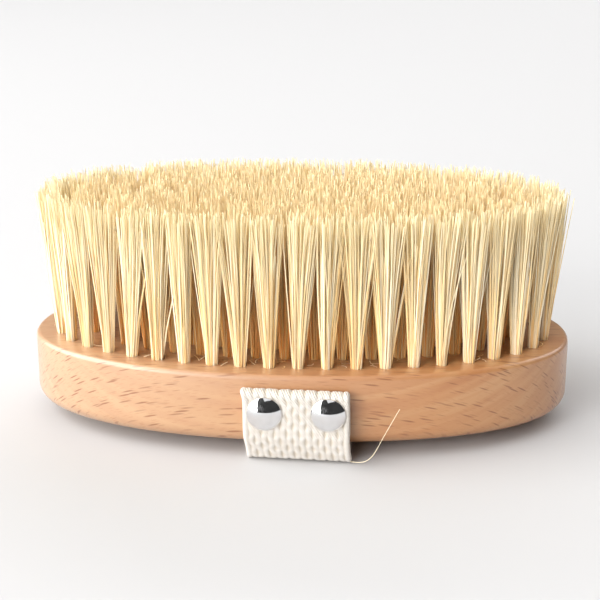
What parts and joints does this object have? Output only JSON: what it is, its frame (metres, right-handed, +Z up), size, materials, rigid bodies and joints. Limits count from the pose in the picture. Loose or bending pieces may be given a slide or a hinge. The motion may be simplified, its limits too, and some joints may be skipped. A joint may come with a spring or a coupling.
{
  "type": "body dry brush",
  "caption": "Oval body dry brush: a wooden back filled with tufts of stiff natural bristle, and a nailed webbing hand strap that lifts away from the back.",
  "frame": {"origin": "on the table under the middle of the brush, which stands bristles up on its strap", "axes": "+Z up towards the bristle tips, +X along the brush, -Y towards the front end of the strap"},
  "size_m": [0.136, 0.0846, 0.0578],
  "materials": {
    "beech": "fine-sanded and oiled beech, satin, with short dark ray flecks",
    "bristle": "natural plant-fibre bristle, pale cream at the tips and deeper golden between the tufts",
    "cotton_webbing": "undyed cotton webbing, coarse ribbed weave, matt",
    "chromed_nail": "polished chrome on a stamped steel dome"
  },
  "bodies": {
    "brush": {"wooden_back": "beech", "outer_tuft_01": "bristle", "outer_tuft_02": "bristle", "outer_tuft_03": "bristle", "outer_tuft_04": "bristle", "outer_tuft_05": "bristle", "outer_tuft_06": "bristle", "outer_tuft_07": "bristle", "outer_tuft_08": "bristle", "outer_tuft_09": "bristle", "outer_tuft_10": "bristle", "outer_tuft_11": "bristle", "outer_tuft_12": "bristle", "outer_tuft_13": "bristle", "outer_tuft_14": "bristle", "outer_tuft_15": "bristle", "outer_tuft_16": "bristle", "outer_tuft_17": "bristle", "outer_tuft_18": "bristle", "outer_tuft_19": "bristle", "outer_tuft_20": "bristle", "outer_tuft_21": "bristle", "outer_tuft_22": "bristle", "outer_tuft_23": "bristle", "outer_tuft_24": "bristle", "outer_tuft_25": "bristle", "outer_tuft_26": "bristle", "outer_tuft_27": "bristle", "outer_tuft_28": "bristle", "outer_tuft_29": "bristle", "outer_tuft_30": "bristle", "outer_tuft_31": "bristle", "outer_tuft_32": "bristle", "outer_tuft_33": "bristle", "outer_tuft_34": "bristle", "outer_tuft_35": "bristle", "outer_tuft_36": "bristle", "outer_tuft_37": "bristle", "outer_tuft_38": "bristle", "outer_tuft_39": "bristle", "outer_tuft_40": "bristle", "outer_tuft_41": "bristle", "outer_tuft_42": "bristle", "outer_tuft_43": "bristle", "outer_tuft_44": "bristle", "tuft_ring_2": "bristle", "tuft_ring_3": "bristle", "tuft_ring_4": "bristle", "tuft_ring_5": "bristle", "strap_front_end": "cotton_webbing", "strap_rear_end": "cotton_webbing", "front_nail_left": "chromed_nail", "front_nail_right": "chromed_nail", "rear_nail_left": "chromed_nail", "rear_nail_right": "chromed_nail"},
    "strap": {"strap_span": "cotton_webbing"}
  },
  "joints": [
    {"name": "strap_lift", "type": "slide", "parent": "brush", "child": "strap", "axis": [0, 0, -1], "range_m": [0, 0.016]}
  ]
}
